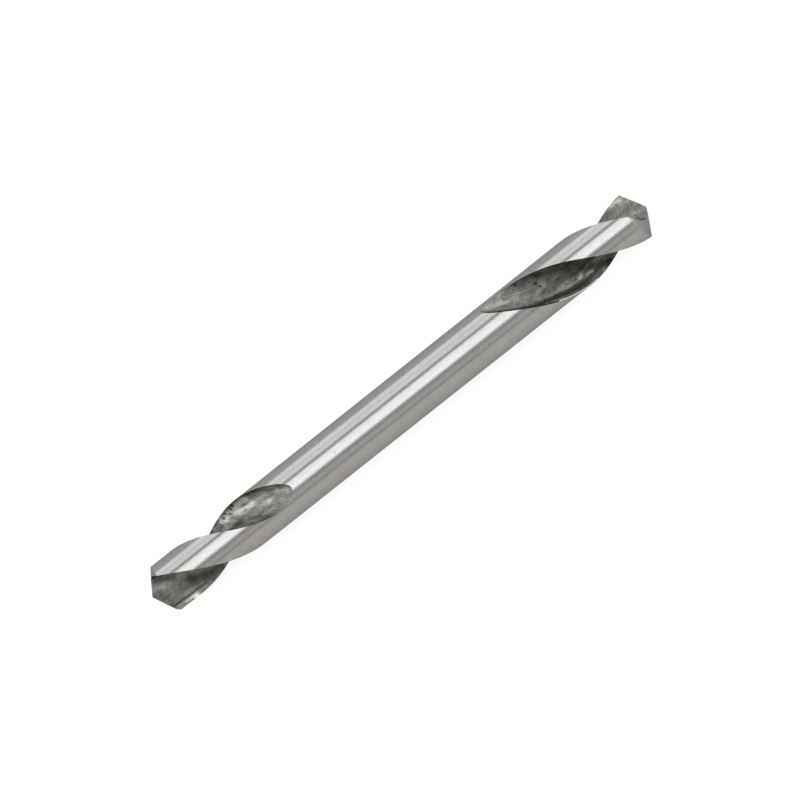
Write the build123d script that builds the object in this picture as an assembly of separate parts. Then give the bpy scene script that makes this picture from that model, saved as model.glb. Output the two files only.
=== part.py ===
from build123d import *
from math import acos, cos, radians, sin, sqrt, tan
import os

# Double-ended stub drill: one bar of high speed steel, ground to a point at both ends.
# The axis is +X, the origin is on the axis at mid-length, and the sizes are in millimetres.
# Angles around the axis start at +Y and turn towards +Z.

# Bar: full size over the lips, and thinner by the back taper where the flutes end
diameter = 5.2
back_taper = 0.01
overall_length = 61.5

# Flutes: two at each end, right-hand, half a turn apart
helix_lead = 29.7
front_flute_length = 18.8
rear_flute_length = 17.9
front_lip_angle = -12.3
rear_lip_angle = 30.3

# Section of one flute in shares of the bar's radius, seen with the lip corner at (1, 0)
lip_entry = (1.14, 0.025)
lip_corner = (1.0, 0.0)
lip_middle = (0.62, -0.02)
lip_foot = (0.22, 0.09)
floor_middle = (-0.10, 0.21)
heel_root = (-0.32, 0.37)
heel_wall = (-0.37, 0.60)
heel_corner = (-0.18, 0.984)
heel_exit = (0.0, 1.22)
outside_share = 1.9

# Run-out: the wheel lifts along an arc while the bar turns on by the run-out turn
front_run_out_radius = 21.9
rear_run_out_radius = 12.2
lift_angle = 20.0
run_out_turn = 36.0
exit_lift_share = 1.08
clear_lift_share = 1.18

# Points: each flank is a patch of a grinding cone, whose highest line is set ahead of the lip.
# That line is blunter than the lip, because the flank falls away behind it.
point_angle = 118.0
highest_line_angle = 129.0
highest_line_lead = 20.0
grinding_cone_angle = 70.0
grind_reach = 3.2
grind_skew = 0.55

# Sections that each flute is lofted through, the first of them clear of the tip
start_clearance = 1.0
twist_step = 12.0
run_out_steps = 12

radius = diameter / 2
shank_radius = radius - back_taper / 2
tip_station = overall_length / 2
lip_station = tip_station - radius / tan(radians(point_angle / 2))


def flute_section():
    """Closed outline of the cut across the bar: lip side, floor, heel side and the air outside."""
    shares = [lip_entry, lip_corner, lip_middle, lip_foot, floor_middle]
    shares += [heel_root, heel_wall, heel_corner, heel_exit]
    points = [(radius * x, radius * y) for x, y in shares]
    wheel_side = Spline(*points)
    entry, leave = points[0], points[-1]
    out = outside_share * radius
    outside = Polyline(leave, (leave[0], out), (out, out), (out, entry[1]), entry)
    return make_face([wheel_side, outside])


def flute_cutter(lip_angle, flute_length, run_out_radius):
    """Solid swept by the wheel along the helix, lifting out along an arc at the inner end."""
    section = flute_section()
    exit_lift = exit_lift_share * radius
    exit_turn = acos(1 - exit_lift / run_out_radius)
    last_turn = acos(1 - clear_lift_share * radius / run_out_radius)
    full_depth_end = tip_station - flute_length + run_out_radius * sin(exit_turn)
    start = tip_station + start_clearance
    straight_steps = round((start - full_depth_end) / helix_lead * 360 / twist_step)

    stations = []
    for step in range(straight_steps):
        stations.append((start + (full_depth_end - start) * step / straight_steps, 0.0))
    for step in range(run_out_steps + 1):
        turn = last_turn * step / run_out_steps
        stations.append((full_depth_end - run_out_radius * sin(turn), run_out_radius * (1 - cos(turn))))

    cuts = []
    for station, lift in reversed(stations):
        helix_turn = (station - lip_station) / helix_lead * 360
        twist = lip_angle + helix_turn + run_out_turn * lift / exit_lift
        across = Plane(origin=(station, 0, 0), x_dir=(0, 1, 0), z_dir=(1, 0, 0))
        lifted = Pos(lift * cos(radians(lift_angle)), lift * sin(radians(lift_angle)))
        cuts.append(across * Rot(0, 0, twist) * lifted * section)
    return loft(cuts)


def grinding_cone(lip_angle):
    """Cone that leaves one flank. It passes through the tip, and its apex is outside the bar."""
    half = radians(grinding_cone_angle / 2)
    tilt = radians(highest_line_angle / 2) - half
    rise_factor = cos(tilt) ** 2 - cos(half) ** 2
    slope_term = sin(tilt) * cos(tilt) * grind_reach
    level_term = (cos(half) ** 2 - sin(tilt) ** 2) * grind_reach ** 2 + (cos(half) * grind_skew) ** 2
    rise = (sqrt(slope_term ** 2 + rise_factor * level_term) - slope_term) / rise_factor

    line_turn = radians(lip_angle + highest_line_lead)
    along = Vector(0, cos(line_turn), sin(line_turn))
    ahead = Vector(0, -sin(line_turn), cos(line_turn))
    forward = Vector(1, 0, 0)
    apex = forward * (tip_station + rise) - along * grind_reach + ahead * grind_skew
    axis = along * sin(tilt) - forward * cos(tilt)
    height = overall_length
    return Solid.make_cone(0, height * tan(half), height, plane=Plane(origin=apex, z_dir=axis))


def pointed_end(lip_angle, flute_length, run_out_radius):
    """Front half of the bar with its two flutes and its two relieved flanks."""
    flute_end = tip_station - flute_length
    shank = Solid.make_cylinder(shank_radius, flute_end, Plane(origin=(0, 0, 0), z_dir=(1, 0, 0)))
    fluted_length = Plane(origin=(flute_end, 0, 0), z_dir=(1, 0, 0))
    half_bar = shank + Solid.make_cone(shank_radius, radius, flute_length, fluted_length)
    for turn in (0, 180):
        half_bar = half_bar & grinding_cone(lip_angle + turn)
    for turn in (0, 180):
        half_bar = half_bar - flute_cutter(lip_angle + turn, flute_length, run_out_radius)
    return half_bar


front_half = pointed_end(front_lip_angle, front_flute_length, front_run_out_radius)
rear_half = pointed_end(rear_lip_angle, rear_flute_length, rear_run_out_radius)
drill_bit = front_half + Rot(0, 0, 180) * rear_half

os.makedirs("parts", exist_ok=True)
export_step(drill_bit, "parts/drill_bit.step")
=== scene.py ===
from math import acos, cos, pi, radians, sin, sqrt, tan

import bpy
import numpy as np
from mathutils import Matrix, Vector


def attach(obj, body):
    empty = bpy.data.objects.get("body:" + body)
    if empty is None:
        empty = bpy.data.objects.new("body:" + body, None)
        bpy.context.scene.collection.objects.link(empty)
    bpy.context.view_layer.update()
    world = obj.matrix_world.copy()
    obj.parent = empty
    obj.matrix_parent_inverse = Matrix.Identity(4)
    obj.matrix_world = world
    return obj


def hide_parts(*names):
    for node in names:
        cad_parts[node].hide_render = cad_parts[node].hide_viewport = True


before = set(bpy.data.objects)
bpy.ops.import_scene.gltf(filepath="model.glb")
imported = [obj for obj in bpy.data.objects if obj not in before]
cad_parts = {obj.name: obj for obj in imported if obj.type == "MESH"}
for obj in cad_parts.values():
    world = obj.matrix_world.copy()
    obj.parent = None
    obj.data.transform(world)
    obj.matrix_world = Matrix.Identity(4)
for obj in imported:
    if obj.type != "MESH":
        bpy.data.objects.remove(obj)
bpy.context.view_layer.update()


# Drill: one bar of high speed steel, ground round, with two flutes ground into each end and each
# end ground to a point. The wheel's section is swept along the helix, and it lifts out of the bar
# along an arc where the flute ends.
mm = 0.001
radius = 2.6 * mm
shank_radius = 2.595 * mm
tip_station = 30.75 * mm


class Wire:
    """A socket of a node tree. Arithmetic on it adds Math nodes."""

    def __init__(self, graph, socket):
        self.graph = graph
        self.socket = socket

    def __add__(self, other):
        return self.graph.math("ADD", self, other)

    def __radd__(self, other):
        return self.graph.math("ADD", other, self)

    def __sub__(self, other):
        return self.graph.math("SUBTRACT", self, other)

    def __rsub__(self, other):
        return self.graph.math("SUBTRACT", other, self)

    def __mul__(self, other):
        return self.graph.math("MULTIPLY", self, other)

    def __rmul__(self, other):
        return self.graph.math("MULTIPLY", other, self)

    def __truediv__(self, other):
        return self.graph.math("DIVIDE", self, other)

    def __pow__(self, other):
        return self.graph.math("POWER", self, other)

    def __rpow__(self, other):
        return self.graph.math("POWER", other, self)

    def __abs__(self):
        return self.graph.math("ABSOLUTE", self)

    def at_least(self, other):
        return self.graph.math("MAXIMUM", self, other)

    def above(self, other):
        return self.graph.math("GREATER_THAN", self, other)


class Graph:
    """A node tree that grows by put(), which adds any node and returns one of its outputs."""

    def __init__(self, tree):
        self.tree = tree

    def put(self, kind, settings=None, sockets=None, output=0):
        """One new node. A list goes into one socket that takes several wires."""
        node = self.tree.nodes.new(kind)
        for name, value in (settings or {}).items():
            setattr(node, name, value)
        for name, value in (sockets or {}).items():
            values = value if isinstance(value, list) else [value]
            for one in values:
                if isinstance(one, Wire):
                    self.tree.links.new(one.socket, node.inputs[name])
                else:
                    node.inputs[name].default_value = one
        return Wire(self, node.outputs[output]) if len(node.outputs) else None

    def math(self, operation, *values, clamp=False):
        settings = {"operation": operation, "use_clamp": clamp}
        return self.put("ShaderNodeMath", settings, dict(enumerate(values)))

    def vector_math(self, operation, first, second, output=0):
        return self.put("ShaderNodeVectorMath", {"operation": operation}, {0: first, 1: second}, output)

    def scaled(self, vector, factor):
        return self.put("ShaderNodeVectorMath", {"operation": "SCALE"}, {0: vector, "Scale": factor})

    def split(self, vector, axis):
        """One part of a vector: 0, 1 or 2 for X, Y or Z."""
        return self.put("ShaderNodeSeparateXYZ", {}, {"Vector": vector}, axis)

    def join(self, x, y, z):
        return self.put("ShaderNodeCombineXYZ", {}, {"X": x, "Y": y, "Z": z})


def natural_spline(points, steps):
    """A smooth line through the points, spaced by the chords between them."""
    points = np.array(points)
    leg = np.diff(points, axis=0)
    chord = np.linalg.norm(leg, axis=1)
    knots = np.concatenate([[0], np.cumsum(chord)])
    count = len(points)
    system = np.eye(count)
    right = np.zeros_like(points)
    for i in range(1, count - 1):
        system[i, i - 1 : i + 2] = chord[i - 1], 2 * (chord[i - 1] + chord[i]), chord[i]
        right[i] = 6 * (leg[i] / chord[i] - leg[i - 1] / chord[i - 1])
    bend = np.linalg.solve(system, right)
    at = np.linspace(0, knots[-1], steps)
    i = np.clip(np.searchsorted(knots, at) - 1, 0, count - 2)
    h = chord[i][:, None]
    a = (knots[i + 1] - at)[:, None] / h
    b = 1 - a
    curved = ((a**3 - a) * bend[i] + (b**3 - b) * bend[i + 1]) * h**2 / 6
    return a * points[i] + b * points[i + 1] + curved


# The wheel's section in shares of the radius, seen with the lip corner at (1, 0). It is closed by
# a box outside the bar.
cut_points = [
    (1.14, 0.025), (1.0, 0.0), (0.62, -0.02), (0.22, 0.09), (-0.10, 0.21),
    (-0.32, 0.37), (-0.37, 0.60), (-0.18, 0.984), (0.0, 1.22),
]
outside = 1.9
section_steps = 80
cut_line = [tuple(point) for point in natural_spline(cut_points, section_steps)]
cut_line += [(0.0, outside), (outside, outside), (outside, 0.025)]
cut_edges = [(i, (i + 1) % len(cut_line)) for i in range(len(cut_line))]
section = bpy.data.meshes.new("wheel_section")
section.from_pydata([(y * radius, z * radius, 0) for y, z in cut_line], cut_edges, [])
drill = bpy.data.objects.new("drill", section)
bpy.context.scene.collection.objects.link(drill)


def new_tree(name, inputs):
    """A geometry tree with named inputs: its graph and the inputs as wires."""
    tree = bpy.data.node_groups.new(name, "GeometryNodeTree")
    for label, kind in inputs:
        tree.interface.new_socket(label, in_out="INPUT", socket_type=kind)
    tree.interface.new_socket("Mesh", in_out="OUTPUT", socket_type="NodeSocketGeometry")
    graph = Graph(tree)
    node = tree.nodes.new("NodeGroupInput")
    return graph, [Wire(graph, node.outputs[label]) for label, kind in inputs]


def keep(graph, shape, name, value, kind, domain):
    """The shape with a value kept on it under a name."""
    settings = {"data_type": kind, "domain": domain}
    sockets = {"Geometry": shape, "Name": name, "Value": value}
    return graph.put("GeometryNodeStoreNamedAttribute", settings, sockets)


def kept(graph, name, kind):
    """The value that keep() has left under a name."""
    return graph.put("GeometryNodeInputNamedAttribute", {"data_type": kind}, {"Name": name})


# Every face carries the number of its finish. An edge between two finishes has their mean, which
# differs from all of ground, fluted and pointed.
ground, fluted, pointed, rolled = 0.0, 1.0, 3.0, 5.0


def marked(graph, shape, finish):
    """The shape with its faces marked by their finish."""
    return keep(graph, shape, "finish", finish, "FLOAT", "FACE")


def moved(graph, shape, place=(0, 0, 0), turn=(0, 0, 0)):
    sockets = {"Geometry": shape, "Translation": place, "Rotation": turn}
    return graph.put("GeometryNodeTransform", {}, sockets)


def reshaped(graph, shape, position):
    return graph.put("GeometryNodeSetPosition", {}, {"Geometry": shape, "Position": position})


def at_edges(graph, value, kind):
    """The mean of a value at each edge."""
    settings = {"domain": "EDGE", "data_type": kind}
    return graph.put("GeometryNodeFieldOnDomain", settings, {"Value": value})


# One pointed half of the drill, from mid-length to its tip. Its two flutes and its two flanks lie
# half a turn apart.
half, inputs = new_tree("pointed_end", [
    ("Section", "NodeSocketGeometry"),
    ("Lip Angle", "NodeSocketFloat"),
    ("Flute Length", "NodeSocketFloat"),
    ("Lift Station", "NodeSocketFloat"),
    ("Last Station", "NodeSocketFloat"),
    ("Run-out Radius", "NodeSocketFloat"),
    ("Grind Place", "NodeSocketVector"),
    ("Grind Turn", "NodeSocketRotation"),
])
wheel_section, lip_angle, flute_length, lift_station = inputs[:4]
last_station, run_out_radius, grind_place, grind_turn = inputs[4:]
position = half.put("GeometryNodeInputPosition")
station = half.split(position, 0)
half_turn = (pi, 0, 0)

# Its flute cutters: the section is swept straight along the axis, and each step of it is then
# lifted and turned. The flute ends at the exit lift, and the sweep ends at the clear lift, where
# the wheel is out of the bar.
helix_lead = 29.7 * mm
helix_turn = 2 * pi / helix_lead
point_half_angle = radians(59)
lip_station = tip_station - radius / tan(point_half_angle)
lift_angle = radians(20)
run_out_turn = radians(36)
exit_lift = 1.08 * radius
clear_lift = 1.18 * radius
start_clearance = 1.0 * mm
flute_steps = 190
wheel = half.put("GeometryNodeMeshToCurve", {}, {"Mesh": wheel_section})
wheel = keep(half, wheel, "section", position, "FLOAT_VECTOR", "POINT")
path_ends = {"Start": half.join(last_station, 0.0, 0.0), "End": (tip_station + start_clearance, 0, 0)}
path = half.put("GeometryNodeCurvePrimitiveLine", {}, path_ends)
path = half.put("GeometryNodeResampleCurve", {"mode": "COUNT"}, {"Curve": path, "Count": flute_steps})
sweep = {"Curve": path, "Profile Curve": wheel, "Fill Caps": True}
cutter = half.put("GeometryNodeCurveToMesh", {}, sweep)
behind = (lift_station - station).at_least(0.0)
lift = run_out_radius - half.math("SQRT", run_out_radius * run_out_radius - behind * behind)
twist = lip_angle + (station - lip_station) * helix_turn + lift * (run_out_turn / exit_lift)
on_wheel = kept(half, "section", "FLOAT_VECTOR")
lifted_y = half.split(on_wheel, 0) + lift * cos(lift_angle)
lifted_z = half.split(on_wheel, 1) + lift * sin(lift_angle)
turning = {"Vector": half.join(station, lifted_y, lifted_z), "Angle": twist}
cutter = reshaped(half, cutter, half.put("ShaderNodeVectorRotate", {"rotation_type": "X_AXIS"}, turning))
cutter = keep(half, cutter, "track", half.scaled(on_wheel, 1 / radius), "FLOAT_VECTOR", "CORNER")
cutter = marked(half, half.put("GeometryNodeFlipFaces", {}, {"Mesh": cutter}), fluted)
cutters = [cutter, moved(half, cutter, turn=half_turn)]

# Its bar: a cylinder of one metre radius is drawn in to the bar's own radius, which grows by the
# back taper over the flutes
bar_size = {"Vertices": 192, "Side Segments": 120, "Radius": 1.0, "Depth": tip_station}
bar = half.put("GeometryNodeMeshCylinder", {"fill_type": "NGON"}, bar_size)
bar = moved(half, bar, (tip_station / 2, 0, 0), (0, pi / 2, 0))
over_flutes = ((station - tip_station) / flute_length + 1.0).at_least(0.0)
bar_radius = shank_radius + over_flutes * (radius - shank_radius)
bar = reshaped(half, bar, half.vector_math("MULTIPLY", position, half.join(1.0, bar_radius, bar_radius)))
bar = marked(half, bar, ground)

# Its grinding cones: what lies inside both of them and the bar has the two flanks. A cone's highest
# line is set ahead of the lip.
highest_line_angle = radians(64.5)
highest_line_lead = radians(20)
grinding_half_angle = radians(35)
grind_reach = 3.2 * mm
grind_skew = 0.55 * mm
cone_length = 2 * tip_station
cone_size = {
    "Vertices": 360,
    "Side Segments": 90,
    "Radius Top": 0.0,
    "Radius Bottom": cone_length * tan(grinding_half_angle),
    "Depth": cone_length,
}
cone = half.put("GeometryNodeMeshCone", {"fill_type": "NGON"}, cone_size)
cone = moved(half, cone, (0, 0, -cone_length))
cone = marked(half, moved(half, cone, grind_place, grind_turn), pointed)
cones = [cone, moved(half, cone, turn=half_turn)]
common = {"operation": "INTERSECT", "solver": "MANIFOLD"}
difference = {"operation": "DIFFERENCE", "solver": "MANIFOLD"}
point = half.put("GeometryNodeMeshBoolean", common, {"Mesh 2": [bar, *cones]})
point = half.put("GeometryNodeMeshBoolean", difference, {"Mesh 1": point, "Mesh 2": cutters})
half.put("NodeGroupOutput", {}, {"Mesh": point})


def lifting_length(lift, run_out_radius):
    """Length in which the wheel lifts that far along its arc."""
    return run_out_radius * sin(acos(1 - lift / run_out_radius))


def pointed_end(graph, section, lip_angle, flute_length, run_out_radius):
    """One pointed half. Its grinding cone is placed so that it passes through the tip."""
    lift_station = tip_station - flute_length + lifting_length(exit_lift, run_out_radius)
    cone_half = grinding_half_angle
    tilt = highest_line_angle - cone_half
    rise_factor = cos(tilt) ** 2 - cos(cone_half) ** 2
    slope_term = sin(tilt) * cos(tilt) * grind_reach
    level_term = (cos(cone_half) ** 2 - sin(tilt) ** 2) * grind_reach**2
    level_term += (cos(cone_half) * grind_skew) ** 2
    rise = (sqrt(slope_term**2 + rise_factor * level_term) - slope_term) / rise_factor
    line_turn = lip_angle + highest_line_lead
    along = Vector((0, cos(line_turn), sin(line_turn)))
    ahead = Vector((0, -sin(line_turn), cos(line_turn)))
    forward = Vector((1, 0, 0))
    axis = along * sin(tilt) - forward * cos(tilt)
    sizes = {
        "Section": section,
        "Lip Angle": lip_angle,
        "Flute Length": flute_length,
        "Lift Station": lift_station,
        "Last Station": lift_station - lifting_length(clear_lift, run_out_radius),
        "Run-out Radius": run_out_radius,
        "Grind Place": forward * (tip_station + rise) - along * grind_reach + ahead * grind_skew,
        "Grind Turn": (-axis).to_track_quat("Z", "Y").to_euler(),
    }
    return graph.put("GeometryNodeGroup", {"node_tree": half.tree}, sizes)


def new_material(name):
    """An empty material and its graph."""
    material = bpy.data.materials.new(name)
    material.use_nodes = True
    material.node_tree.nodes.clear()
    return material, Graph(material.node_tree)


def start_steel(name):
    """A material, its graph, and the place on the drill in millimetres, whole and in three parts."""
    material, graph = new_material(name)
    place = graph.scaled(graph.put("ShaderNodeTexCoord", {}, {}, "Object"), 1 / mm)
    return material, graph, place, [graph.split(place, axis) for axis in range(3)]


def finish_steel(graph, colour, roughness, height, depth):
    """Bare steel with a relief of the given depth in metres."""
    relief = graph.put("ShaderNodeBump", {}, {"Strength": 1.0, "Distance": depth, "Height": height})
    sizes = {
        "Base Color": colour,
        "Metallic": 1.0,
        "Roughness": roughness,
        "Specular Tint": (0.55, 0.55, 0.55, 1),
        "Normal": relief,
    }
    surface = graph.put("ShaderNodeBsdfPrincipled", {}, sizes)
    graph.put("ShaderNodeOutputMaterial", {}, {"Surface": surface})


def noise(place, scale=1.0, detail=3.0, roughness=0.55):
    """Noise from -0.5 to 0.5 round its middle."""
    sizes = {"Vector": place, "Scale": scale, "Detail": detail, "Roughness": roughness}
    return place.graph.put("ShaderNodeTexNoise", {}, sizes) - 0.5


def step(value, low, high):
    """Soft step from 0 at low to 1 at high."""
    sizes = {"Value": value, "From Min": low, "From Max": high}
    return value.graph.put("ShaderNodeMapRange", {"interpolation_type": "SMOOTHSTEP"}, sizes)


def patch(place, centre, size):
    """1 at the centre, falling to 0 at the size, in millimetres."""
    away = place.graph.vector_math("DISTANCE", place, centre, "Value")
    return 1.0 - step(away, 0.0, size)


def smear(place, start, end, half_width, stops):
    """A soft patch of painted light in stops along a straight run, darker for negative stops and lighter
    for positive ones, with its half width in millimetres.
    """
    run = Vector(end) - Vector(start)
    from_start = place.graph.vector_math("SUBTRACT", place, start)
    share = place.graph.vector_math("DOT_PRODUCT", from_start, run / run.length_squared, "Value")
    share = place.graph.math("MULTIPLY", share, 1.0, clamp=True)
    nearest = place.graph.scaled(tuple(run), share)
    return patch(from_start, nearest, half_width) * stops


def blend(share, low, high):
    """The low colour where the share is 0 and the high one where it is 1."""
    sockets = {"Factor": share, "A": low, "B": high}
    return share.graph.put("ShaderNodeMix", {"data_type": "RGBA"}, sockets, "Result")


# Round surfaces: cylindrical grinding leaves fine scratches round the bar, with streaks along it
round_ground, steel, place, (x, y, z) = start_steel("round_ground")
pit_place = (-7.449, 0.195, 2.587)
pit_size = 0.2
scratches = noise(steel.join(x * 24.0, y * 0.8, z * 0.8), detail=4.0, roughness=0.7)
streaks = noise(steel.join(x * 0.35, y * 7.0, z * 7.0))
grain = noise(place, 7.0, 3.0, 0.6)
specks = step(noise(place, 3.1, 1.0), 0.27, 0.31)
pit = step(patch(place, pit_place, pit_size), 0.2, 0.7)
tone = 0.5 + scratches * 0.5 + streaks * 0.5 + grain * 1.5 - specks * 0.5 - pit * 0.9
colour = blend(tone, (0.205, 0.204, 0.2, 1), (0.335, 0.335, 0.332, 1))
height = scratches * 0.35 + grain * 0.9 - pit * 4.0
finish_steel(steel, colour, 0.15 + grain * 0.08, height, 1.8e-6)

# Flutes: rougher from the wheel, and darker in colour than the round surfaces. The track is the place on
# the wheel's section that cut the surface there, and the wheel's marks keep to it.
flute_ground, steel, place, (x, y, z) = start_steel("flute_ground")
track_read = {"attribute_type": "GEOMETRY", "attribute_name": "track"}
track = steel.put("ShaderNodeAttribute", track_read, {}, "Vector")
lip_side = steel.split(track, 0)
heel_side = steel.split(track, 1)
clouds = noise(place, 1.3, 4.0, 0.65)
grain = noise(place, 6.0, 4.0, 0.7)
marks = noise(steel.join(lip_side * 11.0, heel_side * 11.0, x * 0.3), roughness=0.6)
scored = step(noise(steel.join(lip_side * 9.0, heel_side * 26.0, x * 0.22), detail=2.0), 0.1, 0.24)

# Painted shade and painted highlights, where the flutes' shadows and reflections are painted into their
# colour: each runs from its first place to its second and has a half width, all in millimetres, and the
# number of stops by which it is darker or lighter
# Painted shade: the flutes' shadows and dark reflections, painted darker
painted_shade = [
    # Rear flute by the point
    ((-30.0, -0.4, 0.6), (-28.5, -0.6, 0.4), 1.3, -1.0),
    ((-29.4, 1.0, 0.3), (-27.9, 0.5, 0.5), 0.7, -1.5),
    ((-28.0, -1.2, 0.4), (-25.2, -2.0, -0.7), 1.2, -0.5),
    ((-26.6, -0.8, 0.1), (-23.8, -1.6, -1.2), 0.9, -1.5),
    ((-29.3, -1.9, 1.1), (-25.8, -2.0, -0.5), 0.2, -1.5),
    # Rear flute's run-out
    ((-18.3, 0.7, 0.0), (-17.2, 0.3, 0.7), 0.5, -0.8),
    ((-15.8, 0.8, 0.8), (-15.3, 0.7, 1.1), 0.4, -0.7),
    # Front flute from its run-out to the point
    ((14.4, 0.8, 1.4), (17.5, -0.6, 0.9), 1.3, -0.5),
    ((14.6, 1.7, 1.2), (16.8, 1.5, 1.2), 0.5, -0.6),
    ((15.3, 2.3, 1.1), (18.0, 1.7, 1.4), 0.9, -1.0),
    ((18.3, -1.4, 0.6), (19.2, -1.3, 0.4), 0.4, -0.9),
    ((18.5, 1.3, 1.4), (22.0, 0.0, 0.7), 0.9, -1.2),
    ((19.6, -0.1, 0.5), (21.2, -0.1, 0.6), 0.5, -0.7),
    ((20.9, 0.4, 1.1), (22.0, 0.3, 1.7), 0.5, -0.9),
    ((17.5, -1.2, 1.0), (22.0, -0.6, 0.0), 0.8, -0.5),
    ((22.4, -1.0, -0.7), (24.9, -1.6, -1.6), 0.8, -1.5),
    ((26.8, 1.5, -1.4), (27.8, 1.5, -0.9), 0.9, -0.5),
    ((29.3, 1.0, -0.1), (30.1, -0.2, 0.5), 0.9, -0.5),
]
# Painted highlights: the flutes' reflections of the light, painted lighter
painted_highlights = [
    # Rear flute by the point
    ((-29.2, -2.2, 1.1), (-27.1, -2.4, 0.2), 0.5, 2.2),
    # Rear flute's run-out
    ((-20.9, 1.9, -1.4), (-17.6, 2.2, 0.0), 0.7, 3.0),
    ((-19.3, 1.6, -0.9), (-17.2, 1.4, 0.0), 0.45, 1.5),
    ((-22.0, 1.6, -1.8), (-20.3, 1.7, -1.3), 0.5, 1.4),
    ((-20.9, 1.5, -1.4), (-18.4, 1.4, -0.6), 0.5, 0.4),
    ((-18.8, 2.0, -0.6), (-17.5, 1.9, -0.1), 0.5, 1.1),
    ((-17.9, 1.2, -0.3), (-16.9, 1.1, 0.2), 0.4, 0.8),
    ((-19.2, 1.2, -0.8), (-17.5, 1.1, 0.0), 0.5, 0.5),
    ((-17.2, 1.4, 0.1), (-15.4, 1.2, 1.0), 0.5, 0.6),
    ((-14.5, 1.0, 1.6), (-13.3, 0.7, 2.4), 0.4, 0.8),
    ((-14.2, 0.0, 1.9), (-13.4, 0.0, 2.3), 0.4, 0.6),
    ((-16.8, -0.4, 1.5), (-15.3, -0.4, 1.9), 0.4, 0.6),
    ((-17.2, 1.9, 0.2), (-14.4, 1.3, 1.8), 0.7, 1.5),
    ((-18.5, 0.6, 0.1), (-15.5, 0.4, 1.1), 0.9, 1.0),
    ((-15.9, 0.6, 0.9), (-13.5, 0.3, 2.2), 0.5, 0.5),
    # Front flute from its run-out to the point
    ((12.7, 2.0, 1.3), (14.7, 1.1, 1.2), 0.4, 0.5),
    ((17.5, -1.4, 1.2), (20.5, -2.2, 0.5), 0.5, 2.5),
    ((20.5, -2.4, 0.4), (24.0, -2.2, -1.1), 0.6, 2.0),
    ((17.4, 0.1, 0.8), (18.3, 0.2, 0.8), 0.5, 0.8),
    ((19.3, -0.9, 0.2), (20.4, -0.8, 0.0), 0.4, 0.9),
    ((21.4, -1.3, -0.5), (23.0, -0.8, -0.8), 0.3, 1.2),
    ((22.3, -1.6, -0.9), (22.9, -1.6, -1.0), 0.3, 1.4),
    ((24.6, -1.5, -1.5), (25.1, -1.6, -1.7), 0.3, 1.4),
    ((28.3, 2.4, -1.1), (29.0, 2.1, -0.6), 0.6, 1.2),
    ((29.4, 0.4, 0.2), (29.9, 0.2, 0.3), 0.5, 0.8),
]

# Chips and dark specks: their places and how far each reaches, in millimetres
chipped = [
    ((-20.6, 1.9, -1.3), 0.3), ((-20.2, 2.1, -1.1), 0.22), ((-19.8, 1.9, -1.0), 0.2),
    ((-19.4, 2.1, -0.8), 0.25), ((-19.0, 2.3, -0.5), 0.3), ((16.2, 2.0, 1.3), 0.3),
    ((17.8, 0.9, 1.1), 0.3), ((18.0, 0.5, 1.0), 0.25),
]
chip_stops = -3.0
wavy = steel.vector_math("ADD", place, steel.join(grain * 0.25, clouds * 0.35, grain * -0.25))
ragged = steel.vector_math("ADD", place, steel.join(grain * 0.8, clouds * 0.8, grain * -0.8))
# Painted shade and painted highlights, and the chips, summed in stops
painted_light_and_chips = 0.0
for start, end, half_width, stops in painted_shade + painted_highlights:
    painted_light_and_chips = smear(wavy, start, end, half_width, stops) + painted_light_and_chips
for spot, size in chipped:
    painted_light_and_chips = patch(ragged, spot, size) * chip_stops + painted_light_and_chips

# In the rear run-outs the wheel's marks slant across the flute. Each flute is the other one turned by
# half a turn, so y counts the other way there. At the opening station one of them opens towards +Y.
opening_station = -20.3
mark_slant = radians(28)
at_rear = 1.0 - step(x, -1.0, 1.0)
run_out = step(x, -23.0, -20.5) * at_rear
opening = (x - opening_station) * (helix_turn * mm)
facing = y * steel.math("COSINE", opening) + z * steel.math("SINE", opening)
across = x * sin(mark_slant) + y * steel.math("SIGN", facing) * cos(mark_slant)
disc_marks = noise(steel.join(across * 3.5, x * 0.2, z * 0.2), roughness=0.6)
marks = marks + (disc_marks - marks) * run_out
grain = grain * (1.0 - at_rear * 0.3)

tone = 0.28 + clouds * (0.75 - run_out * 0.25) + grain * 0.75
tone = tone + marks * (0.35 + run_out * 0.35) + scored * (0.16 - run_out * 0.16)
colour = blend(tone, (0.028, 0.029, 0.024, 1), (0.36, 0.36, 0.345, 1))
# The colour is scaled by the stops of painted shade, painted highlights and chips, and by the grain
bright = painted_light_and_chips * (1.0 + grain * 0.8) + grain * 0.6
height = grain + marks * 0.5 + clouds * 1.5 - scored * 0.3
finish_steel(steel, steel.scaled(colour, 2.0**bright), 0.40 + grain * 0.3, height, 6e-6)

# Flanks: plain, with the lines of the last grind
flank_ground, steel, place, (x, y, z) = start_steel("flank_ground")
lines = noise(steel.join(x * 26.0, y * 1.5, z * 1.5), roughness=0.6)
grain = noise(place, 7.0, 3.0, 0.6)
colour = blend(0.5 + lines * 0.5 + grain * 0.5, (0.19, 0.186, 0.18, 1), (0.29, 0.285, 0.278, 1))
finish_steel(steel, colour, 0.32 + grain * 0.1, lines * 0.6 + grain, 1.5e-6)

# Burr: a bead where the flute's edge has been rolled up, its steel painted lighter than the rest as a
# painted highlight along the edge
burr_painted_highlight, steel, place = start_steel("burr_painted_highlight")[:3]
grain = noise(place, 5.0, 2.0)
colour = blend(0.5 + grain, (0.34, 0.335, 0.32, 1), (0.6, 0.595, 0.58, 1))
finish_steel(steel, colour, 0.3, grain, 2e-6)

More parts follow.
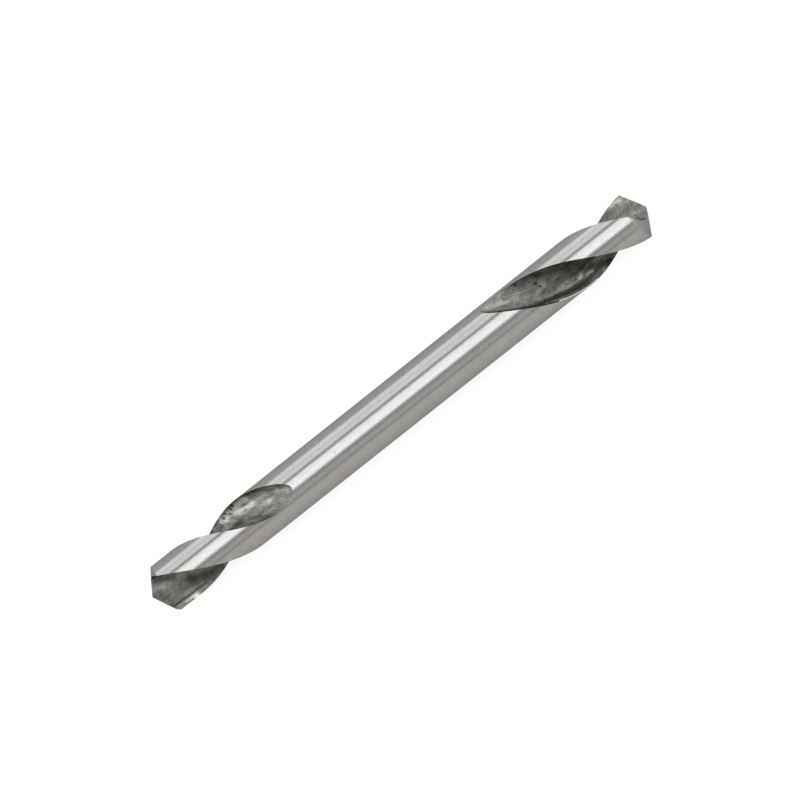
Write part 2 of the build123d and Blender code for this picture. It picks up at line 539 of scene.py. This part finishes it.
# The whole drill: both halves, joined at mid-length, where the faces between them are taken out. A
# lip's angle round the axis is that of its corner.
front_lip_angle = radians(-12.3)
front_flute_length = 18.8 * mm
front_run_out_radius = 21.9 * mm
rear_lip_angle = radians(30.3)
rear_flute_length = 17.9 * mm
rear_run_out_radius = 12.2 * mm
seam_reach = 0.001 * mm
whole, inputs = new_tree("double_ended_drill", [
    ("Section", "NodeSocketGeometry"),
    ("Burr Start", "NodeSocketFloat"),
    ("Burr End", "NodeSocketFloat"),
    ("Burr Radius", "NodeSocketFloat"),
])
wheel_section, burr_start, burr_end, burr_radius = inputs
front_half = pointed_end(whole, wheel_section, front_lip_angle, front_flute_length, front_run_out_radius)
rear_half = pointed_end(whole, wheel_section, rear_lip_angle, rear_flute_length, rear_run_out_radius)
halves = [front_half, moved(whole, rear_half, turn=(0, 0, pi))]
body = whole.put("GeometryNodeJoinGeometry", {}, {"Geometry": halves})
position = whole.put("GeometryNodeInputPosition")
station = whole.split(position, 0)
seam = 1.0 - abs(station).above(seam_reach)
between = {"domain": "FACE", "mode": "ONLY_FACE"}
body = whole.put("GeometryNodeDeleteGeometry", between, {"Geometry": body, "Selection": seam})
weld = {"Geometry": body, "Selection": seam, "Distance": 0.1 * seam_reach}
body = whole.put("GeometryNodeMergeByDistance", {}, weld)

# Its edges stay sharp between two finishes and where they turn by more than the crease angle
crease_angle = radians(25)
finish = kept(whole, "finish", "FLOAT")
edge_finish = at_edges(whole, finish, "FLOAT")
mixed = abs(edge_finish * (edge_finish - fluted) * (edge_finish - pointed)).above(0.01)
crease = mixed + whole.put("GeometryNodeInputMeshEdgeAngle").above(crease_angle)
body = whole.put("GeometryNodeSetShadeSmooth", {"domain": "FACE"}, {"Geometry": body})
sharp = {"Geometry": body, "Selection": crease.above(0.5), "Shade Smooth": False}
body = whole.put("GeometryNodeSetShadeSmooth", {"domain": "EDGE"}, sharp)

# Its burr: the wheel has rolled up a thin bead along the heel edge of the front flutes. The rim is
# that edge, where ground and fluted faces meet.
bead_step = 0.06 * mm
bead_depth = 0.1 * mm
heel_from = 0.25
lumps_per_metre = 2500.0
edge_track = at_edges(whole, kept(whole, "track", "FLOAT_VECTOR"), "FLOAT_VECTOR")
rim = edge_finish.above(ground + 0.01) * (1.0 - edge_finish.above(fluted - 0.01))
rim = rim * whole.split(edge_track, 1).above(heel_from)
rim = rim * station.above(burr_start) * (1.0 - station.above(burr_end))
bead = whole.put("GeometryNodeMeshToCurve", {}, {"Mesh": body, "Selection": rim.above(0.5)})
bead = whole.put("GeometryNodeResampleCurve", {"mode": "LENGTH"}, {"Curve": bead, "Length": bead_step})
sunk = 1.0 - bead_depth / radius
bead = reshaped(whole, bead, whole.vector_math("MULTIPLY", position, (1.0, sunk, sunk)))
along = whole.put("GeometryNodeSplineParameter")
swell = (along * (1.0 - along) * 4.0) ** 2.0
lumps = {"Vector": position, "Scale": lumps_per_metre, "Detail": 2.0}
uneven = 0.6 + whole.put("ShaderNodeTexNoise", {}, lumps)
bead = whole.put("GeometryNodeSetCurveRadius", {}, {"Curve": bead, "Radius": swell * uneven})
ring = whole.put("GeometryNodeCurvePrimitiveCircle", {}, {"Resolution": 10, "Radius": burr_radius})
sweep = {"Curve": bead, "Profile Curve": ring, "Fill Caps": True}
bead = whole.put("GeometryNodeCurveToMesh", {}, sweep)
bead = whole.put("GeometryNodeSetShadeSmooth", {"domain": "FACE"}, {"Geometry": bead})
bead = marked(whole, bead, rolled)
body = whole.put("GeometryNodeJoinGeometry", {}, {"Geometry": [body, bead]})
body = whole.put("GeometryNodeRealizeInstances", {}, {"Geometry": body})

# Its steel: each material covers its own finish and the higher ones, which the next ones cover again
finishes = [(round_ground, ground), (flute_ground, fluted), (flank_ground, pointed), (burr_painted_highlight, rolled)]
for material, number in finishes:
    chosen = {"Geometry": body, "Material": material, "Selection": finish.above(number - 0.5)}
    body = whole.put("GeometryNodeSetMaterial", {}, chosen)
whole.put("NodeGroupOutput", {}, {"Mesh": body})

grow = drill.modifiers.new("grow", "NODES")
grow.node_group = whole.tree
burr_sizes = {"Burr Start": 18.6 * mm, "Burr End": 22.8 * mm, "Burr Radius": 0.08 * mm}
for socket in whole.tree.interface.items_tree:
    if socket.name in burr_sizes:
        grow[socket.identifier] = burr_sizes[socket.name]
bpy.context.view_layer.update()
grown = drill.evaluated_get(bpy.context.evaluated_depsgraph_get())
drill_mesh = bpy.data.meshes.new_from_object(grown)
drill.modifiers.clear()
drill.data = drill_mesh
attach(drill, "root")
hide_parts("drill_bit")


# Floor: a plain sheet of matt white paper that the drill lies on. Where the camera sees it, and in
# the steel, it glows by itself, so that it comes out as white as in the photograph.
floor_level = -radius
floor_reach = 3.0
glow = 0.8
sides = [(-1, -1), (1, -1), (1, 1), (-1, 1)]
corners = [(x * floor_reach, y * floor_reach, floor_level) for x, y in sides]
floor_mesh = bpy.data.meshes.new("floor")
floor_mesh.from_pydata(corners, [], [(0, 1, 2, 3)])
sheet = bpy.data.objects.new("floor", floor_mesh)
bpy.context.scene.collection.objects.link(sheet)
floor_white, paper = new_material("floor_white")
to_camera = paper.put("ShaderNodeLightPath", {}, {}, "Is Camera Ray")
in_steel = paper.put("ShaderNodeLightPath", {}, {}, "Is Glossy Ray")
through = paper.put("ShaderNodeLightPath", {}, {}, "Is Transmission Ray")
seen = to_camera.at_least(in_steel).at_least(through)
matt = paper.put("ShaderNodeBsdfDiffuse", {}, {"Color": (0.85, 0.85, 0.85, 1)})
glowing = paper.put("ShaderNodeEmission", {}, {"Color": (1, 1, 1, 1), "Strength": 1.0})
surface = paper.put("ShaderNodeMixShader", {}, {0: seen * glow, 1: matt, 2: glowing})
paper.put("ShaderNodeOutputMaterial", {}, {"Surface": surface})
floor_mesh.materials.append(floor_white)


# Light: a white room with long soft panels along the drill. A panel has its first and last angle in
# degrees, from overhead to the drill's far side, its strength and the width of its soft edges. The
# near side is a little warmer.
room_level = 0.82
panels = [
    (-8, 31, 2.2, 12), (-6, 12, 0.2, 10), (44, 63, 1.35, 8), (65, 91, 1.42, 10),
    (-43, -26, 0.3, 8), (-115, -54, 0.38, 10),
]
world = bpy.data.worlds.new("room")
bpy.context.scene.world = world
world.use_nodes = True
world.node_tree.nodes.clear()
room = Graph(world.node_tree)
direction = room.put("ShaderNodeTexCoord", {}, {}, "Generated")
turn = room.math("ARCTAN2", room.split(direction, 1), room.split(direction, 2)) * (180 / pi)
light = room_level
for first, last, strength, soft in panels:
    rise = step(turn, first - soft / 2, first + soft / 2)
    fall = step(turn, last - soft / 2, last + soft / 2)
    light = rise * (1.0 - fall) * strength + light
warming = {"Value": turn, "From Min": -48.0, "From Max": -58.0}
near_side = room.put("ShaderNodeMapRange", {}, warming)
tint = blend(near_side, (1, 1, 1, 1), (1.04, 1.0, 0.955, 1))
lit = room.put("ShaderNodeBackground", {}, {"Color": tint, "Strength": light})
white = room.put("ShaderNodeBackground", {}, {"Color": (1, 1, 1, 1), "Strength": 1.0})
to_camera = room.put("ShaderNodeLightPath", {}, {}, "Is Camera Ray")
surroundings = room.put("ShaderNodeMixShader", {}, {0: to_camera, 1: lit, 2: white})
room.put("ShaderNodeOutputWorld", {}, {"Surface": surroundings})


# Camera: almost straight above, turned so that the drill runs from lower left to upper right. Its
# place and its lens are fitted to the photograph.
view_tilt = radians(4.6)
view_turn = radians(38.4273)
distance = 0.2564
back = Vector((sin(view_tilt), 0, cos(view_tilt)))
axis_seen = Vector((cos(view_tilt), 0, -sin(view_tilt)))
far_side = Vector((0, 1, 0))
right = axis_seen * cos(view_turn) - far_side * sin(view_turn)
up = axis_seen * sin(view_turn) + far_side * cos(view_turn)
lens = bpy.data.cameras.new("camera")
lens.sensor_width = 36
lens.lens = 118.35
lens.shift_x = 0.0030
lens.shift_y = 0.0056
lens.clip_start = 0.01
lens.clip_end = 20
camera = bpy.data.objects.new("camera", lens)
camera.matrix_world = Matrix.Translation(back * distance) @ Matrix((right, up, back)).transposed().to_4x4()
bpy.context.scene.collection.objects.link(camera)
bpy.context.scene.camera = camera
bpy.context.scene.view_settings.view_transform = "Standard"
